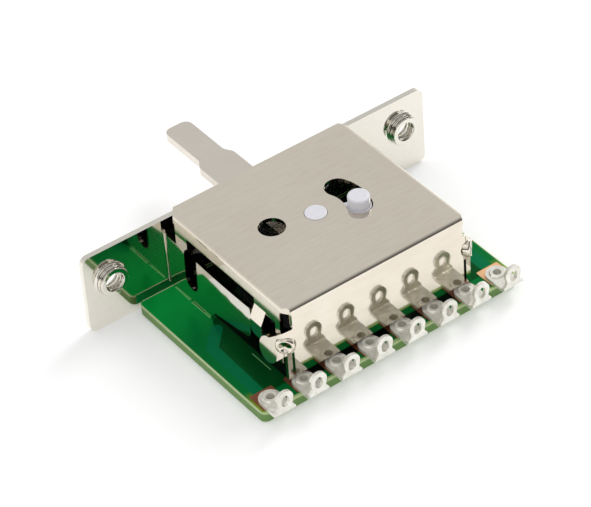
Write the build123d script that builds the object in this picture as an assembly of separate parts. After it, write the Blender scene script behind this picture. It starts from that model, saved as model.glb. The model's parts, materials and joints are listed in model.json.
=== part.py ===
from build123d import *
import os
from math import cos, radians, sin, tan

# Guitar pickup selector switch, five positions, all sizes in millimetres.
# +X runs along the mounting plate, +Y points out of its outer face along the lever,
# +Z points out of the cover. The origin lies on the outer face of the mounting plate,
# halfway between the axes of the two threaded holes.

# Clearances used all over
FIT = 0.05
RUN_FIT = 0.06
FAR = 60.0

# Mounting plate
HOLE_SPACING = 41.3
PLATE_LENGTH = 48.0
PLATE_TOP = 4.2
PLATE_HEIGHT = 10.7
PLATE_T = 0.7
PLATE_CORNER_R = 1.0
THREAD_MINOR_R = 1.25
COLLAR_R = 1.9
COLLAR_HEIGHT = 1.05
COLLAR_ROOT_R = 0.3
COLLAR_LIP_R = 0.25
LEVER_SLOT_CLEAR_X = 0.45
LEVER_SLOT_CLEAR_Z = 0.35
LEVER_SLOT_CORNER_R = 0.35

# Printed board
BOARD_EDGE_X = 1.91
BOARD_LEDGE = 2.1
BOARD_GAP = 0.15
BOARD_T = 1.3
BOARD_CORNER_R = 0.8
COPPER_T = 0.06
PAD_HALF_W = 1.5
PAD_BACK = 1.95
PAD_FRONT = 0.95
PAD_CORNER_R = 0.2

# Cover, one folded sheet
COVER_WIDTH = 25.0
COVER_GAP = 0.1
COVER_T = 0.5
COVER_BEND_R = 0.7
FRONT_CORNER_CUT_X = 0.6
BACK_CORNER_CUT_X = 0.9
CORNER_CUT_Y = 1.2
FRONT_WALL_LIFT = 0.34
FLANGE_DEPTH = 1.9
BACK_LIP_DEPTH = 1.1
CORNER_LIP_DEPTH = 0.9
BACK_STRUT_SETBACK = 1.4
BACK_STRUT_W = 2.2
FRONT_STRUT_SETBACK = 4.0
FRONT_STRUT_W = 0.6
FRONT_STRUT_LIFT = 2.0
KEEPER_W = 2.1
KEEPER_REACH = 0.75
KEEPER_NECK = 0.9
KEEPER_SLOPE = 1.6
KEEPER_LIFT = 4.0
KEEPER_BEND_R = 0.3
KEEPER_END_R = 0.9
SIDE_WALL_SETBACK = 1.4
CORNER_POST_W = 0.9
FRONT_HOLE_DEPTH = 3.0
FRONT_HOLE_LIFT = 4.0
LOCK_HOLE_R = 1.6
LOCK_HOLE_X = -5.2
LOCK_HOLE_OFF_Y = 1.2
TAB_PROUD = 0.15

# Wings folded back from the front wall in a wide roll and flared out below, and the
# legs beside that wall, at heights above its foot
WING_HIGH = 6.8
WING_LOW = 3.5
WING_DISC_RISE = 3.05
WING_DISC_R = 1.6
WING_REACH = 2.55
WING_TILT = 8.0
WING_BEND_R = 0.95
DIMPLE_R = 1.12
DIMPLE_RISE = 4.7
DIMPLE_PROUD = 0.35
DIMPLE_EDGE_R = 0.3
LEG_W = 0.6
LEG_GAP = 0.25
LEG_DROP = 0.1

# Side frame, a channel behind the cover with two arms
ARM_T = 0.45
ARM_SETBACK = 6.2
ARM_HEIGHT = 7.1
ARM_TOP_DIP = 0.3
ARM_FOOT_LENGTH = 8.6
ARM_FOOT_SLOPE_Y = 1.4
ARM_FOOT_SLOPE_Z = 1.5
ARM_FRONT_LIFT = 2.8
ARM_CORNER_R = 1.0
ARM_BULGE = 0.3
ARM_BACK_BULGE = 0.04
ARM_NOTCH_Y = 5.6
ARM_NOTCH_W = 2.4
ARM_NOTCH_LIFT = 2.1
ARM_TAB_Y = 6.45
ARM_TAB_W = 2.4
HOOK_W = 1.0
HOOK_REACH = 0.9
WEB_DROP = 1.2
WEB_BEND_R = 0.36
WEB_SLOT_EXTRA = 0.2
RIVET_X = 9.8
RIVET_LIFT = 1.8
RIVET_R = 0.8
RIVET_HEAD_R = 1.4
RIVET_HEAD_T = 0.35
RIVET_HEAD_BEVEL = 0.2

# Terminal lugs
LUG_COUNT = 8
LUG_PITCH = 4.55
LUG_T = 0.4
LUG_INSET = 1.35
LUG_OVERHANG = 1.6
LUG_FOOT_R = 1.35
LUG_HEAD_R = 1.08
LUG_NECK_W = 1.8
LUG_NECK_RISE = 1.2
LUG_HEIGHT = 3.3
LUG_BEND_R = 0.65
LUG_HOLE_W = 1.0
LUG_HOLE_H = 1.5
LUG_HOLE_DOWN = 1.35
EYELET_R = 0.75
EYELET_BORE_R = 0.5
EYELET_RIM_R = 0.92
EYELET_RIM_H = 0.2
EYELET_RIM_BEVEL = 0.1
EYELET_FLARE_R = 1.1
EYELET_FLARE_T = 0.2

# Pivot post and its clip
POST_R = 1.6
POST_NECK_R = 1.3
POST_FLANGE_R = 2.6
POST_FLANGE_T = 0.5
POST_PROUD = 0.12
POST_EDGE_R = 0.1
POST_SHOULDER_RISE = 0.64
CLIP_R = 2.7
CLIP_T = 0.3
CLIP_GAP_W = 1.9
CLIP_GROOVE = 0.25

# Rotor and lever
ROTOR_R = 9.2
ROTOR_DISC_T = 2.6
ROTOR_HUB_R = 3.3
ROTOR_HUB_RISE = 1.6
ROTOR_HALF_ANGLE = 62.0
WIPER_ROOM = 0.9
LEVER_T = 1.0
LEVER_TIP_W = 3.5
LEVER_W = 4.85
LEVER_ROOT_R = 3.3
LEVER_REACH = 16.0
LEVER_SHOULDER_Y = 8.1
LEVER_SHOULDER_L = 1.1
LEVER_SHOULDER_R = 0.9
LEVER_TIP_R = 1.0
LEVER_THROW = 20.0
LEVER_POSITIONS = 5
STAKE_R = 0.5
STAKE_X = 2.4
STAKE_DEPTH = 0.5
STAKE_HEAD_R = 0.8
STAKE_HEAD_T = 0.3

# Wiper springs and contact tracks
WIPER_W = 1.5
WIPER_T = 0.15
WIPER_BACK = -3.7
WIPER_FOLD = -0.6
WIPER_END = 1.5
WIPER_EDGE = 2.1
WIPER_STEP = 2.2
WIPER_DOME_R = 0.45
WIPER_DOME_DEPTH = 0.27
TRACK_W = 1.2
TRACK_SPARE_ANGLE = 8.0
TRACK_CLEAR = 0.05

# Click stop
BALL_R = 0.8
BALL_CLEAR = 0.1
BALL_BORE_DEPTH = 4.6
STRIP_T = 0.65
STRIP_GAP = 0.8
STRIP_CLEAR = 0.15
STRIP_SPARE_ANGLE = 12.0
STRIP_FOOT_ANGLE = 5.0
STRIP_LIFT = 0.24
STRIP_RISE = 0.3
NOTCH_DEPTH = 0.28
SPRING_WIRE_R = 0.1
SPRING_R = 0.55
SPRING_PITCH = 0.65
SPRING_SIDES = 6

# Mode arm with the pin in the curved slot
SLOT_R = 5.0
SLOT_HALF_W = 1.55
SLOT_HALF_ANGLE = 24.0
ARM_REST_ANGLE = -22.0
PIN_R = 1.3
PIN_PROUD = 1.3
PIN_EDGE_R = 0.26
PIN_COLLAR_R = 1.45
PIN_COLLAR_SUNK = 0.2
MODE_ARM_CLEAR = 0.15
MODE_ARM_T = 1.35
MODE_HUB_R = 2.4
MODE_HUB_H = 2.29

# Heights that follow from the sizes above, stacked from the board to the cover
PLATE_BOTTOM = PLATE_TOP - PLATE_HEIGHT
BOARD_BOTTOM = PLATE_BOTTOM + EYELET_FLARE_T
BOARD_TOP = BOARD_BOTTOM + BOARD_T
LUG_LOW = BOARD_TOP + COPPER_T
LUG_TOP = LUG_LOW + LUG_T
ROTOR_LOW = BOARD_TOP + WIPER_ROOM
ROTOR_DISC_TOP = ROTOR_LOW + ROTOR_DISC_T
BALL_Z = (ROTOR_LOW + ROTOR_DISC_TOP) / 2
LEVER_LOW = ROTOR_DISC_TOP + ROTOR_HUB_RISE
LEVER_TOP = LEVER_LOW + LEVER_T
LEVER_MID_Z = LEVER_LOW + LEVER_T / 2
CLIP_LOW = LEVER_TOP + STAKE_HEAD_T + RUN_FIT
POST_SHOULDER = CLIP_LOW + CLIP_T + POST_SHOULDER_RISE
MODE_ARM_TOP = POST_SHOULDER + RUN_FIT + MODE_HUB_H
MODE_ARM_LOW = MODE_ARM_TOP - MODE_ARM_T
COVER_IN = MODE_ARM_TOP + MODE_ARM_CLEAR
COVER_TOP = COVER_IN + COVER_T
FRONT_WALL_FOOT = LUG_TOP + FRONT_WALL_LIFT
ARM_TOP = BOARD_TOP + ARM_HEIGHT
RIVET_Z = BOARD_TOP + RIVET_LIFT

# Places in plan that follow, from the plate forward to the lugs
WEB_BACK_Y = -PLATE_T - ARM_T
BOARD_BACK_Y = WEB_BACK_Y - BOARD_GAP
COVER_BACK_Y = -PLATE_T - COVER_GAP
STRIP_INNER_R = ROTOR_R + STRIP_GAP
BALL_ROUTE_R = STRIP_INNER_R - BALL_CLEAR - BALL_R
PIVOT_Y = COVER_BACK_Y - STRIP_INNER_R - STRIP_T - STRIP_CLEAR - COVER_T
PIVOT = Pos(0, PIVOT_Y, 0)
COVER_FRONT_Y = 2 * PIVOT_Y - COVER_BACK_Y
BOARD_FRONT_Y = COVER_FRONT_Y - BOARD_LEDGE
LUG_RING_Y = BOARD_FRONT_Y + LUG_INSET
LUG_PADDLE_Y = BOARD_FRONT_Y - LUG_OVERHANG
BACK_STRUT_Y = COVER_BACK_Y - BACK_STRUT_SETBACK
FRONT_STRUT_Y = COVER_FRONT_Y + FRONT_STRUT_SETBACK
ARM_FRONT_Y = COVER_FRONT_Y + ARM_SETBACK
COVER_HALF = COVER_WIDTH / 2
FRONT_WALL_HALF = COVER_HALF - FRONT_CORNER_CUT_X
ARM_OUT = COVER_HALF + ARM_T
BOARD_HALF = (LUG_COUNT - 1) / 2 * LUG_PITCH + BOARD_EDGE_X
WIPER_RADII = (ROTOR_R - WIPER_EDGE - WIPER_STEP, ROTOR_R - WIPER_EDGE)


def block(x0, x1, y0, y1, z0, z1):
    """Box between two opposite corners."""
    middle = Pos((x0 + x1) / 2, (y0 + y1) / 2, (z0 + z1) / 2)
    return middle * Box(abs(x1 - x0), abs(y1 - y0), abs(z1 - z0))


def upright(radius, low, high):
    """Round bar along Z between two heights, on the Z axis."""
    return Pos(0, 0, (low + high) / 2) * Cylinder(radius, high - low)


def ring(outer, inner, low, high):
    """Flat ring on the Z axis between two heights."""
    return upright(outer, low, high) - Cylinder(inner, FAR)


def across(radius, y0, y1):
    """Round bar along Y between two places, on the Y axis."""
    return Pos(0, (y0 + y1) / 2, 0) * Rot(90, 0, 0) * Cylinder(radius, abs(y1 - y0))


def sideways(radius, y, z, length):
    """Round bar along X, centred on the middle plane."""
    return Pos(0, y, z) * Rot(0, 90, 0) * Cylinder(radius, length)


def sector(half_angle, direction, reach):
    """Tall wedge that opens from the Z axis towards a direction in degrees."""
    side = reach * tan(radians(half_angle))
    wedge = make_face(Polyline((0, 0), (reach, side), (reach, -side), close=True))
    return Rot(0, 0, direction) * Pos(0, 0, -FAR / 2) * extrude(wedge, amount=FAR)


def mirrored(shape):
    """The shape and its mirror image on the other side of the middle plane."""
    return shape + mirror(shape, about=Plane.YZ)


def side_sheet(points, x_in, x_out):
    """Sheet parallel to the YZ plane with the given outline of (y, z) points."""
    outline = make_face(Polyline(*[(0, y, z) for y, z in points], close=True))
    return Pos(x_in, 0, 0) * extrude(outline, amount=x_out - x_in, dir=(1, 0, 0))


def lever_slot(y0, y1, extra):
    """Long slot that lets the lever swing to both ends of its throw."""
    throw = radians(LEVER_THROW)
    half = -PIVOT_Y * tan(throw) + LEVER_W / 2 / cos(throw) + LEVER_SLOT_CLEAR_X + extra
    rise = LEVER_T / 2 + LEVER_SLOT_CLEAR_Z + extra
    slot = block(-half, half, y0, y1, LEVER_MID_Z - rise, LEVER_MID_Z + rise)
    return fillet(slot.edges().filter_by(Axis.Y), LEVER_SLOT_CORNER_R)


def rivet_holes():
    """Cutters for the two rivets through the plate and the web of the side frame."""
    return mirrored(Pos(RIVET_X, 0, RIVET_Z) * across(RIVET_R + FIT, -FAR / 2, FAR / 2))


def mounting_plate():
    """Flat plate with two drawn collars for the screws and a slot for the lever."""
    plate = block(-PLATE_LENGTH / 2, PLATE_LENGTH / 2, -PLATE_T, 0, PLATE_BOTTOM, PLATE_TOP)
    plate = fillet(plate.edges().filter_by(Axis.Y), PLATE_CORNER_R)
    collar_end = -PLATE_T - COLLAR_HEIGHT
    for side in (-1, 1):
        plate += Pos(side * HOLE_SPACING / 2, 0, 0) * across(COLLAR_R, -PLATE_T / 2, collar_end)
    circles = plate.edges().filter_by(GeomType.CIRCLE).filter_by(lambda e: abs(e.radius - COLLAR_R) < FIT)
    roots = circles.filter_by(lambda e: abs(e.center().Y + PLATE_T) < FIT)
    plate = fillet(roots, COLLAR_ROOT_R)
    circles = plate.edges().filter_by(GeomType.CIRCLE)
    lips = circles.filter_by(lambda e: abs(e.center().Y - collar_end) < FIT)
    plate = fillet(lips, COLLAR_LIP_R)
    for side in (-1, 1):
        plate -= Pos(side * HOLE_SPACING / 2, 0, 0) * across(THREAD_MINOR_R, -FAR / 2, FAR / 2)
    return plate - rivet_holes() - lever_slot(-PLATE_T - 1, 1, 0)


def arm_outline():
    """Outline of one arm of the side frame, as (y, z) points from the web forward."""
    return [
        (-PLATE_T, BOARD_TOP),
        (-ARM_FOOT_LENGTH, BOARD_TOP),
        (-ARM_FOOT_LENGTH - ARM_FOOT_SLOPE_Y, BOARD_TOP + ARM_FOOT_SLOPE_Z),
        (ARM_FRONT_Y, BOARD_TOP + ARM_FRONT_LIFT),
        (ARM_FRONT_Y, ARM_TOP),
        (-PLATE_T, ARM_TOP),
    ]


def arm_section(y, bulge):
    """Section of an arm of the side frame at a place along it, bowed outwards by a bulge."""
    low, high = BOARD_TOP, ARM_TOP
    mid = (low + high) / 2
    outer = ThreePointArc((ARM_OUT, y, low), (ARM_OUT + bulge, y, mid), (ARM_OUT, y, high))
    inner = ThreePointArc((COVER_HALF, y, high), (COVER_HALF + bulge, y, mid), (COVER_HALF, y, low))
    foot = Line((COVER_HALF, y, low), (ARM_OUT, y, low))
    head = Line((ARM_OUT, y, high), (COVER_HALF, y, high))
    return make_face([foot, outer, head, inner])


def curved_arm():
    """One arm of the side frame on the +X side, flat at the web and bowed outwards at its end."""
    arm = loft([arm_section(WEB_BACK_Y, ARM_BACK_BULGE), arm_section(ARM_FRONT_Y, ARM_BULGE)])
    outline = side_sheet(arm_outline(), COVER_HALF - 1, ARM_OUT + 1)
    front_corners = outline.edges().filter_by(Axis.X).group_by(Axis.Y)[0]
    arm &= fillet(front_corners, ARM_CORNER_R)
    dip_r = (ARM_FRONT_Y / 2) ** 2 / (2 * ARM_TOP_DIP)
    arm -= sideways(dip_r, PIVOT_Y, ARM_TOP - ARM_TOP_DIP + dip_r, FAR)
    notch_mid = BOARD_TOP + ARM_NOTCH_LIFT + ARM_NOTCH_W / 2
    arm -= block(COVER_HALF - 1, ARM_OUT + 1, -ARM_NOTCH_Y - ARM_NOTCH_W / 2, -ARM_NOTCH_Y + ARM_NOTCH_W / 2,
                 notch_mid, ARM_TOP + 1)
    arm -= sideways(ARM_NOTCH_W / 2, -ARM_NOTCH_Y, notch_mid, FAR)
    hook_top = ARM_TOP - ARM_TOP_DIP - ARM_T / 2
    arm += block(COVER_HALF - HOOK_REACH, ARM_OUT, PIVOT_Y - HOOK_W / 2, PIVOT_Y + HOOK_W / 2,
                 hook_top - ARM_T, hook_top)
    tab = block(COVER_HALF, ARM_OUT, -ARM_TAB_Y - ARM_TAB_W / 2, -ARM_TAB_Y + ARM_TAB_W / 2,
                BOARD_BOTTOM - TAB_PROUD, BOARD_TOP)
    return arm + tab


def side_frame():
    """Channel with a web on the plate and two arms along the sides of the cover."""
    web = block(-ARM_OUT, ARM_OUT, WEB_BACK_Y, -PLATE_T, BOARD_TOP - WEB_DROP, ARM_TOP)
    web = fillet(web.edges().filter_by(Axis.Z).group_by(Axis.Y)[-1], WEB_BEND_R)
    web -= mirrored(block(ARM_OUT - ARM_CORNER_R, ARM_OUT + 1, WEB_BACK_Y - 1, 0, PLATE_BOTTOM, BOARD_TOP))
    arm = curved_arm()
    frame = web + arm + mirror(arm, about=Plane.YZ)
    return frame - rivet_holes() - lever_slot(-PLATE_T - 1, 1, WEB_SLOT_EXTRA)


def frame_rivets():
    """Two rivets that hold the side frame to the plate, flush with its outer face."""
    rivet = across(RIVET_R, 0, WEB_BACK_Y - RIVET_HEAD_T)
    rivet += across(RIVET_HEAD_R, WEB_BACK_Y, WEB_BACK_Y - RIVET_HEAD_T)
    rivet = chamfer(rivet.edges().filter_by(GeomType.CIRCLE).group_by(Axis.Y)[0], RIVET_HEAD_BEVEL)
    return Compound(children=[Pos(side * RIVET_X, 0, RIVET_Z) * rivet for side in (-1, 1)])


def tab_holes():
    """Cutters for the sheet tabs that pass through the board on both sides."""
    arm_tab = (COVER_HALF, ARM_OUT, -ARM_TAB_Y - ARM_TAB_W / 2, -ARM_TAB_Y + ARM_TAB_W / 2)
    cover_tab = (COVER_HALF - COVER_T, COVER_HALF, BACK_STRUT_Y - BACK_STRUT_W, BACK_STRUT_Y)
    cutters = [block(x0 - FIT, x1 + FIT, y0 - FIT, y1 + FIT, BOARD_BOTTOM - 1, BOARD_TOP + 1)
               for x0, x1, y0, y1 in (arm_tab, cover_tab)]
    return mirrored(cutters[0] + cutters[1])


def printed_board():
    """Printed board with holes for eyelets, pivot post and the tabs of the sheet parts."""
    sheet = block(-BOARD_HALF, BOARD_HALF, BOARD_FRONT_Y, BOARD_BACK_Y, BOARD_BOTTOM, BOARD_TOP)
    sheet = fillet(sheet.edges().filter_by(Axis.Z), BOARD_CORNER_R)
    for x in lug_places():
        sheet -= Pos(x, LUG_RING_Y, 0) * Cylinder(EYELET_R + FIT, FAR)
    sheet -= PIVOT * Cylinder(POST_NECK_R + FIT, FAR)
    return sheet - tab_holes()


def lug_places():
    """X of each terminal, from the -X end of the row."""
    return [(i - (LUG_COUNT - 1) / 2) * LUG_PITCH for i in range(LUG_COUNT)]


def curved_slot():
    """Cutter for the curved slot that the pin of the mode arm runs in."""
    slot = ring(SLOT_R + SLOT_HALF_W, SLOT_R - SLOT_HALF_W, 0, FAR / 2)
    slot &= sector(SLOT_HALF_ANGLE, 0, 2 * (SLOT_R + SLOT_HALF_W))
    for angle in (-SLOT_HALF_ANGLE, SLOT_HALF_ANGLE):
        slot += Rot(0, 0, angle) * Pos(SLOT_R, 0, 0) * upright(SLOT_HALF_W, 0, FAR / 2)
    return PIVOT * slot


def wing():
    """Tab rolled back from the edge of the front wall over the +X side wall, flared out below."""
    disc_y = COVER_FRONT_Y + WING_REACH
    disc_z = FRONT_WALL_FOOT + WING_DISC_RISE
    fold_y = COVER_FRONT_Y - FIT
    slant = WING_DISC_R * cos(radians(45))
    neck = [(fold_y, FRONT_WALL_FOOT + WING_LOW), (fold_y, FRONT_WALL_FOOT + WING_HIGH),
            (disc_y, disc_z + WING_DISC_R), (disc_y, disc_z), (disc_y - slant, disc_z - slant)]
    outline = sideways(WING_DISC_R, disc_y, disc_z, FAR) + side_sheet(neck, 0, FAR / 2)
    fold = block(0, COVER_HALF + COVER_T, COVER_FRONT_Y, 0, -FAR / 2, FAR / 2)
    fold = fillet(fold.edges().filter_by(Axis.Z).group_by(Axis.X)[-1].group_by(Axis.Y)[0], WING_BEND_R)
    hollow = block(0, COVER_HALF, COVER_FRONT_Y + COVER_T, 1, -FAR / 2, FAR / 2)
    hollow = fillet(hollow.edges().filter_by(Axis.Z).group_by(Axis.X)[-1].group_by(Axis.Y)[0],
                    WING_BEND_R - COVER_T)
    hinge = Pos(COVER_HALF, 0, FRONT_WALL_FOOT + WING_HIGH)
    sheet = hinge * Rot(0, -WING_TILT, 0) * hinge.inverse() * (fold - hollow)
    sheet -= block(-FAR, FRONT_WALL_HALF - COVER_T, -FAR, FAR, -FAR, FAR)
    return (sheet & outline) + fold_dimple()


def fold_dimple():
    """Round boss pressed out of the rolled corner at the root of the +X wing."""
    boss = upright(DIMPLE_R, WING_BEND_R - COVER_T, WING_BEND_R + DIMPLE_PROUD)
    boss = fillet(boss.edges().filter_by(GeomType.CIRCLE).group_by(Axis.Z)[-1], DIMPLE_EDGE_R)
    roll_x = COVER_HALF + COVER_T - WING_BEND_R
    roll_y = COVER_FRONT_Y + WING_BEND_R
    return Pos(roll_x, roll_y, FRONT_WALL_FOOT + DIMPLE_RISE) * Rot(0, 0, -45) * Rot(0, 90, 0) * boss


def keeper():
    """Tab of the cover bent out from its flange, hanging before the end of the +X arm."""
    x_out = COVER_HALF + KEEPER_REACH
    flange_low = COVER_TOP - FLANGE_DEPTH
    bend_z = flange_low - KEEPER_NECK
    low = BOARD_TOP + KEEPER_LIFT
    outer = [(COVER_HALF, flange_low + COVER_T), (COVER_HALF, bend_z), (x_out, bend_z - KEEPER_SLOPE),
             (x_out, low)]
    inner = [(x - COVER_T, z) for x, z in reversed(outer)]
    section = make_face(Polyline(*[(x, FRONT_STRUT_Y, z) for x, z in outer + inner], close=True))
    tab = extrude(section, amount=KEEPER_W, dir=(0, 1, 0))
    bends = tab.edges().filter_by(Axis.Y).filter_by(lambda e: low + FIT < e.center().Z < bend_z + FIT)
    tab = fillet(bends, KEEPER_BEND_R)
    return fillet(tab.edges().filter_by(Axis.X).group_by(Axis.Z)[0], KEEPER_END_R)


def side_wall_cutters():
    """Openings of the +X side wall of the cover and the relief at its corners."""
    x0 = COVER_HALF - COVER_BEND_R
    x1 = COVER_HALF + 1
    window_top = COVER_TOP - FLANGE_DEPTH
    side_front = COVER_FRONT_Y + SIDE_WALL_SETBACK
    strut_y = FRONT_STRUT_Y + FRONT_STRUT_W
    cutters = block(x0, x1, strut_y, BACK_STRUT_Y - BACK_STRUT_W, -FAR, window_top)
    cutters += block(x0, x1, BACK_STRUT_Y, 1, -FAR, COVER_TOP - BACK_LIP_DEPTH)
    cutters += block(x0, x1, COVER_FRONT_Y + COVER_T, strut_y, -FAR, BOARD_TOP + FRONT_STRUT_LIFT)
    cutters += block(x0, x1, side_front + CORNER_POST_W, FRONT_STRUT_Y, BOARD_TOP + FRONT_HOLE_LIFT,
                     COVER_TOP - FRONT_HOLE_DEPTH)
    cutters += block(x0, x1, COVER_FRONT_Y - 1, side_front, -FAR, COVER_TOP - CORNER_LIP_DEPTH)
    return cutters


def corner_cutter(points):
    """Cutter along Z with the given plan outline, for a slanted corner of the cover."""
    plan = make_face(Polyline(*points, close=True))
    return mirrored(Pos(0, 0, -FAR / 2) * extrude(plan, amount=FAR))


def folded_shell():
    """Top, front wall and side walls of the cover before they are pierced."""
    outer = block(-COVER_HALF, COVER_HALF, COVER_FRONT_Y, COVER_BACK_Y, BOARD_TOP + FIT, COVER_TOP)
    rims = outer.edges().group_by(Axis.Z)[-1].filter_by(lambda e: e.center().Y < COVER_BACK_Y - FIT)
    outer = fillet(rims, COVER_BEND_R)
    inner = block(-COVER_HALF + COVER_T, COVER_HALF - COVER_T, COVER_FRONT_Y + COVER_T, FAR, -FAR, COVER_IN)
    rims = inner.edges().group_by(Axis.Z)[-1].filter_by(lambda e: e.center().Y < FAR - FIT)
    return outer - fillet(rims, COVER_BEND_R - COVER_T)


def cover():
    """Folded cover: top, front wall, pierced side walls, wings and legs."""
    shell = folded_shell()
    edge_x = COVER_HALF + 1
    shell -= block(-FAR, FAR, COVER_FRONT_Y - 1, COVER_FRONT_Y + COVER_T, -FAR, FRONT_WALL_FOOT)
    shell -= mirrored(side_wall_cutters())
    cut_y = COVER_FRONT_Y + CORNER_CUT_Y
    shell -= corner_cutter([(FRONT_WALL_HALF, COVER_FRONT_Y - 1), (edge_x, COVER_FRONT_Y - 1),
                            (edge_x, cut_y), (COVER_HALF, cut_y),
                            (FRONT_WALL_HALF, COVER_FRONT_Y + COVER_T / 2)])
    cut_y = COVER_BACK_Y - CORNER_CUT_Y
    back_half = COVER_HALF - BACK_CORNER_CUT_X
    shell -= corner_cutter([(back_half, 0), (back_half, COVER_BACK_Y), (COVER_HALF, cut_y), (edge_x, cut_y),
                            (edge_x, 0)])
    tab = block(COVER_HALF - COVER_T, COVER_HALF, BACK_STRUT_Y - BACK_STRUT_W, BACK_STRUT_Y,
                BOARD_BOTTOM - TAB_PROUD, BOARD_TOP + COVER_T)
    leg_in = FRONT_WALL_HALF + LEG_GAP
    leg = block(leg_in, leg_in + LEG_W, COVER_FRONT_Y, COVER_FRONT_Y + COVER_T,
                FRONT_WALL_FOOT - LEG_DROP, FRONT_WALL_FOOT + WING_LOW + COVER_T)
    shell += mirrored(wing())
    shell += mirrored(keeper())
    shell += mirrored(tab + leg)
    shell -= PIVOT * upright(POST_NECK_R + FIT, COVER_IN - 1, COVER_TOP + 1)
    shell -= PIVOT * Pos(LOCK_HOLE_X, LOCK_HOLE_OFF_Y, 0) * upright(LOCK_HOLE_R, COVER_IN - 1, COVER_TOP + 1)
    return shell - curved_slot()


def paddle_trim():
    """Cutter that gives the upright part of a terminal its neck and its round head."""
    head_z = LUG_LOW + LUG_HEIGHT - LUG_HEAD_R
    neck_z = LUG_LOW + LUG_NECK_RISE
    fold_z = LUG_LOW + LUG_BEND_R
    y0, y1 = LUG_PADDLE_Y - 1, LUG_PADDLE_Y + LUG_T + FIT
    sides = [(LUG_FOOT_R, fold_z), (LUG_NECK_W / 2, neck_z), (LUG_HEAD_R, head_z)]
    outline = sides + [(-x, z) for x, z in reversed(sides)]
    face = make_face(Polyline(*[(x, y0, z) for x, z in outline], close=True))
    keep = extrude(face, amount=y1 - y0, dir=(0, 1, 0))
    keep += Pos(0, 0, head_z) * across(LUG_HEAD_R, y0, y1)
    return block(-LUG_FOOT_R - 1, LUG_FOOT_R + 1, y0, y1, fold_z, LUG_LOW + LUG_HEIGHT + 1) - keep


def terminal_lug(x):
    """Terminal: flat foot with a round end, bent up into a paddle with an oval hole."""
    foot = block(-LUG_FOOT_R, LUG_FOOT_R, LUG_PADDLE_Y, LUG_RING_Y, LUG_LOW, LUG_TOP)
    foot += Pos(0, LUG_RING_Y, 0) * upright(LUG_FOOT_R, LUG_LOW, LUG_TOP)
    paddle = block(-LUG_FOOT_R, LUG_FOOT_R, LUG_PADDLE_Y, LUG_PADDLE_Y + LUG_T, LUG_LOW, LUG_LOW + LUG_HEIGHT)
    lug = foot + paddle
    folds = lug.edges().filter_by(Axis.X).filter_by(lambda e: abs(e.center().Y - LUG_PADDLE_Y) < FIT)
    lug = fillet(folds.group_by(Axis.Z)[0], LUG_BEND_R)
    inner = lug.edges().filter_by(Axis.X).filter_by(lambda e: abs(e.center().Y - LUG_PADDLE_Y - LUG_T) < FIT)
    lug = fillet(inner.group_by(Axis.Z)[0], LUG_BEND_R - LUG_T)
    lug -= paddle_trim()
    lug -= Pos(0, LUG_RING_Y, 0) * Cylinder(EYELET_R + FIT, FAR)
    oval = extrude(SlotOverall(LUG_HOLE_H, LUG_HOLE_W, rotation=90), amount=FAR)
    lug -= Pos(0, LUG_PADDLE_Y - 1, LUG_LOW + LUG_HEIGHT - LUG_HOLE_DOWN) * Rot(-90, 0, 0) * oval
    return Pos(x, 0, 0) * lug


def lug_eyelets():
    """Eyelets that rivet the terminals to the board, flared under it."""
    top = LUG_TOP + EYELET_RIM_H
    low = BOARD_BOTTOM - EYELET_FLARE_T
    eyelet = upright(EYELET_R, low, top) + upright(EYELET_RIM_R, LUG_TOP, top)
    eyelet += upright(EYELET_FLARE_R, low, BOARD_BOTTOM)
    eyelet -= Cylinder(EYELET_BORE_R, FAR)
    rims = eyelet.edges().filter_by(GeomType.CIRCLE).group_by(Axis.Z)
    eyelet = chamfer(rims[-1].sort_by(SortBy.RADIUS)[-1], EYELET_RIM_BEVEL)
    return Compound(children=[Pos(x, LUG_RING_Y, 0) * eyelet for x in lug_places()])


def copper_pads():
    """Copper pads of the board, one around each terminal hole."""
    pad = block(-PAD_HALF_W, PAD_HALF_W, -PAD_FRONT, PAD_BACK, BOARD_TOP, BOARD_TOP + COPPER_T)
    pad = fillet(pad.edges().filter_by(Axis.Z), PAD_CORNER_R) - Cylinder(EYELET_R + FIT, FAR)
    return Compound(children=[Pos(x, LUG_RING_Y, 0) * pad for x in lug_places()])


def contact_tracks():
    """Arc shaped contact tracks of the board under the rotor."""
    tracks = []
    for radius in WIPER_RADII:
        track = ring(radius + TRACK_W / 2, radius - TRACK_W / 2, BOARD_TOP, BOARD_TOP + COPPER_T)
        for direction in (0, 180):
            tracks.append(PIVOT * (track & sector(LEVER_THROW + TRACK_SPARE_ANGLE, direction, 2 * radius)))
    return Compound(children=tracks)


def pivot_post():
    """Plastic post between board and cover that the moving parts turn on."""
    post = upright(POST_R, BOARD_TOP, POST_SHOULDER)
    post += upright(POST_FLANGE_R, BOARD_TOP, BOARD_TOP + POST_FLANGE_T)
    post += upright(POST_NECK_R, BOARD_BOTTOM - TAB_PROUD, COVER_TOP + POST_PROUD)
    post -= ring(POST_R + 1, POST_R - CLIP_GROOVE, CLIP_LOW, CLIP_LOW + CLIP_T + RUN_FIT)
    post = fillet(post.edges().filter_by(GeomType.CIRCLE).group_by(Axis.Z)[-1], POST_EDGE_R)
    return PIVOT * post


def retaining_clip():
    """Spring clip in the groove of the post, over the lever."""
    low = CLIP_LOW + RUN_FIT / 2
    clip = ring(CLIP_R, POST_R - CLIP_GROOVE + FIT, low, low + CLIP_T)
    clip -= block(-CLIP_GAP_W / 2, CLIP_GAP_W / 2, -CLIP_R - 1, 0, -FAR, FAR)
    return PIVOT * clip


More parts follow.
